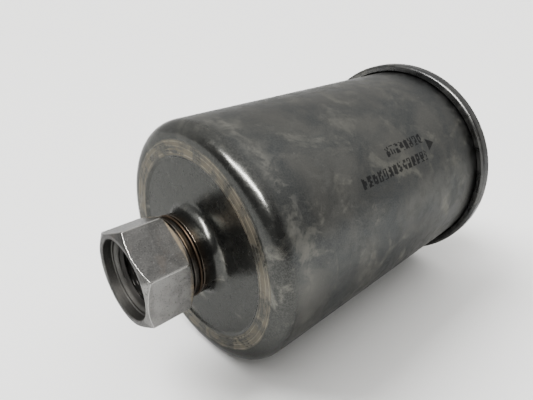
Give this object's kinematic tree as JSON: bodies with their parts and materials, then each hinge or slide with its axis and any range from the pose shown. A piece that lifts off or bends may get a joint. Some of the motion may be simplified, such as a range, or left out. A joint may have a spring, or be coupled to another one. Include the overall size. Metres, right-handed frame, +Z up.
{
  "type": "in-line fuel filter",
  "caption": "Steel in-line fuel filter: a drawn can with a double-seamed lid, a threaded hex fitting at each end and a spring-loaded pleated paper element inside.",
  "frame": {"origin": "centre of the bounding box: on the can's axis, midway between the faces of the two fittings", "axes": "+X along the axis with the fuel's flow, from the inlet fitting at the drawn end to the outlet fitting at the seamed lid; +Z up, with the filter lying on its side"},
  "size_m": [0.1284, 0.068, 0.068],
  "materials": {
    "can_steel": "dull satin plated steel with cloudy grey stains and a polished shoulder",
    "fitting_steel": "satin zinc-plated, with turned faces",
    "stamped_steel": "tin-plated sheet",
    "spring_steel": "oiled spring wire",
    "braze": "dark heat-stained braze with brown rings",
    "sealing_compound": "dried sealing compound",
    "filter_paper": "resin-treated crepe paper",
    "potting": "cured glue",
    "grommet_rubber": "matt black rubber"
  },
  "bodies": {
    "housing": {"canister": "can_steel", "seam_lid": "can_steel", "seam_compound": "sealing_compound", "inlet_fitting": "fitting_steel", "outlet_fitting": "fitting_steel", "inlet_braze_ring": "braze", "outlet_braze_ring": "braze", "outlet_tube": "stamped_steel", "spring_cup": "stamped_steel", "element_spring": "spring_steel"},
    "element": {"element_inlet_cap": "stamped_steel", "element_outlet_cap": "stamped_steel", "inlet_potting": "potting", "outlet_potting": "potting", "pleated_media": "filter_paper", "media_seam_clip": "stamped_steel", "inlet_pleat_band": "filter_paper", "outlet_pleat_band": "filter_paper", "centre_tube": "stamped_steel", "outlet_grommet": "grommet_rubber"}
  },
  "joints": [
    {"name": "element_float", "type": "slide", "parent": "housing", "child": "element", "axis": [1, 0, 0], "range_m": [-0.002, 0], "stiffness_N_per_m": 1200, "springref_m": 0.006, "deforming": ["element_spring"]}
  ]
}
